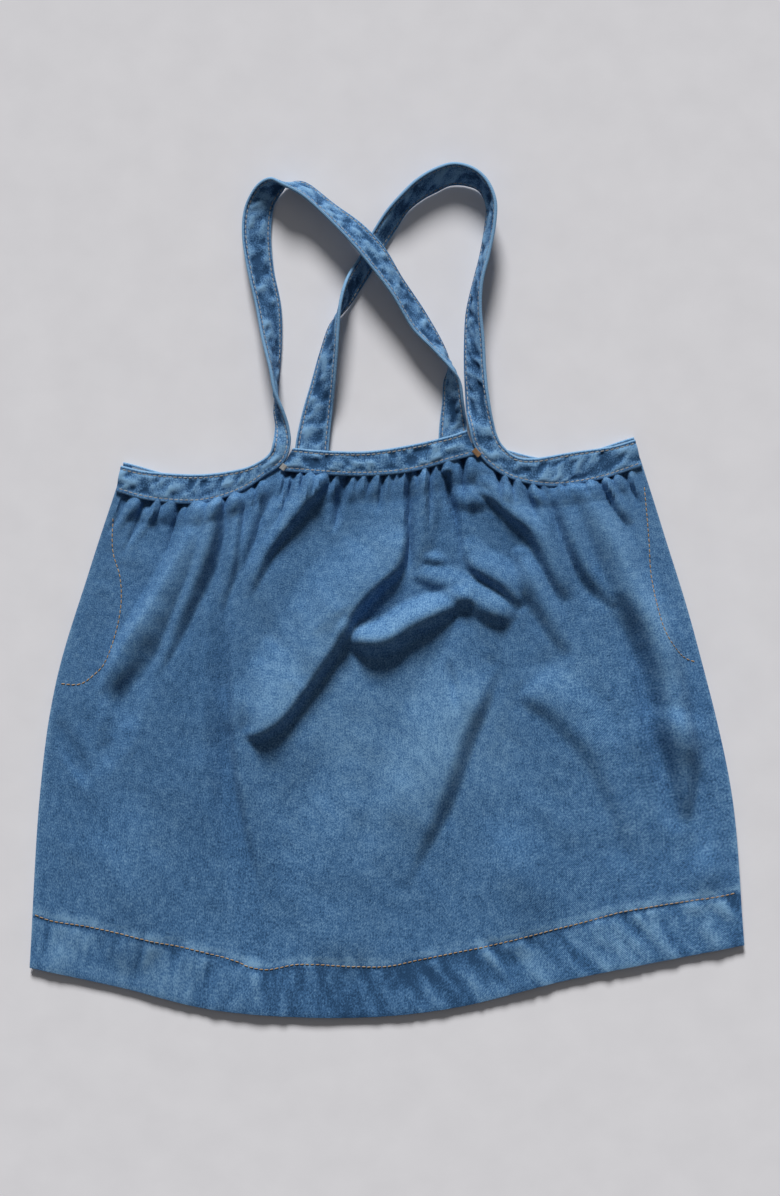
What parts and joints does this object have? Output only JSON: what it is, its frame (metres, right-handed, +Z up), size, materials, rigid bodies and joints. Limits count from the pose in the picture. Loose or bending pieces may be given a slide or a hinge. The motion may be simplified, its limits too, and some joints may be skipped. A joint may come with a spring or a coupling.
{
  "type": "smock apron",
  "caption": "Child's denim smock apron with a gathered skirt on a waistband and shoulder straps that cross, laid out flat.",
  "frame": {"origin": "bottom centre of the bounding box of the apron as it lies flat", "axes": "+Z up out of the surface that the apron lies on, through its front; +Y from the hem towards the shoulder straps; +X to the right as seen from above"},
  "size_m": [0.4278, 0.51, 0.0198],
  "materials": {
    "skirt_denim": "stone-washed blue denim, matt twill, paler on folds and seams",
    "band_denim": "stone-washed blue denim, matt twill, pale worn edges",
    "strap_denim": "stone-washed blue denim, matt twill, pale worn edges",
    "inside_denim": "pale wrong side of the denim, matt",
    "pocket_cloth": "plain blue cotton, matt",
    "topstitch_thread": "tobacco-brown sewing thread, faded",
    "bar_tack_thread": "orange-brown sewing thread, dense satin stitch"
  },
  "bodies": {
    "skirt": {"front_panel": "skirt_denim", "back_panel": "skirt_denim", "front_hem_facing": "inside_denim", "back_hem_facing": "inside_denim", "front_hem_stitching": "topstitch_thread", "back_hem_stitching": "topstitch_thread", "left_side_seam": "inside_denim", "right_side_seam": "inside_denim", "left_pocket_back_bag": "pocket_cloth", "left_pocket_front_bag": "pocket_cloth", "left_pocket_stitching": "topstitch_thread", "right_pocket_back_bag": "pocket_cloth", "right_pocket_front_bag": "pocket_cloth", "right_pocket_stitching": "topstitch_thread", "centre_front_band": "band_denim", "centre_front_band_facing": "inside_denim", "centre_front_band_lower_stitching": "topstitch_thread", "centre_front_band_upper_stitching": "topstitch_thread", "left_side_band": "band_denim", "left_side_band_facing": "inside_denim", "left_side_band_lower_stitching": "topstitch_thread", "left_side_band_upper_stitching": "topstitch_thread", "right_side_band": "band_denim", "right_side_band_facing": "inside_denim", "right_side_band_lower_stitching": "topstitch_thread", "right_side_band_upper_stitching": "topstitch_thread", "back_waistband": "band_denim", "back_waistband_facing": "inside_denim", "left_strap_back_end": "strap_denim", "right_strap_back_end": "strap_denim", "left_back_bar_tack": "topstitch_thread", "right_back_bar_tack": "topstitch_thread", "left_front_bar_tack": "bar_tack_thread", "right_front_bar_tack": "bar_tack_thread"},
    "left_strap": {"left_strap": "strap_denim", "left_strap_inner_stitching": "topstitch_thread", "left_strap_outer_stitching": "topstitch_thread"},
    "right_strap": {"right_strap": "strap_denim", "right_strap_inner_stitching": "topstitch_thread", "right_strap_outer_stitching": "topstitch_thread"}
  },
  "joints": [
    {"name": "left_strap_fold", "type": "hinge", "parent": "skirt", "child": "left_strap", "pos_m": [0, 0.094, 0.014], "axis": [0.9962, 0.0867, 0], "range_deg": [0, 160]},
    {"name": "right_strap_fold", "type": "hinge", "parent": "skirt", "child": "right_strap", "pos_m": [0, 0.094, 0.014], "axis": [0.9962, 0.0867, 0], "range_deg": [0, 160]}
  ],
  "couplings": [
    {"joint": "right_strap_fold", "follows": "left_strap_fold", "ratio": 1}
  ]
}
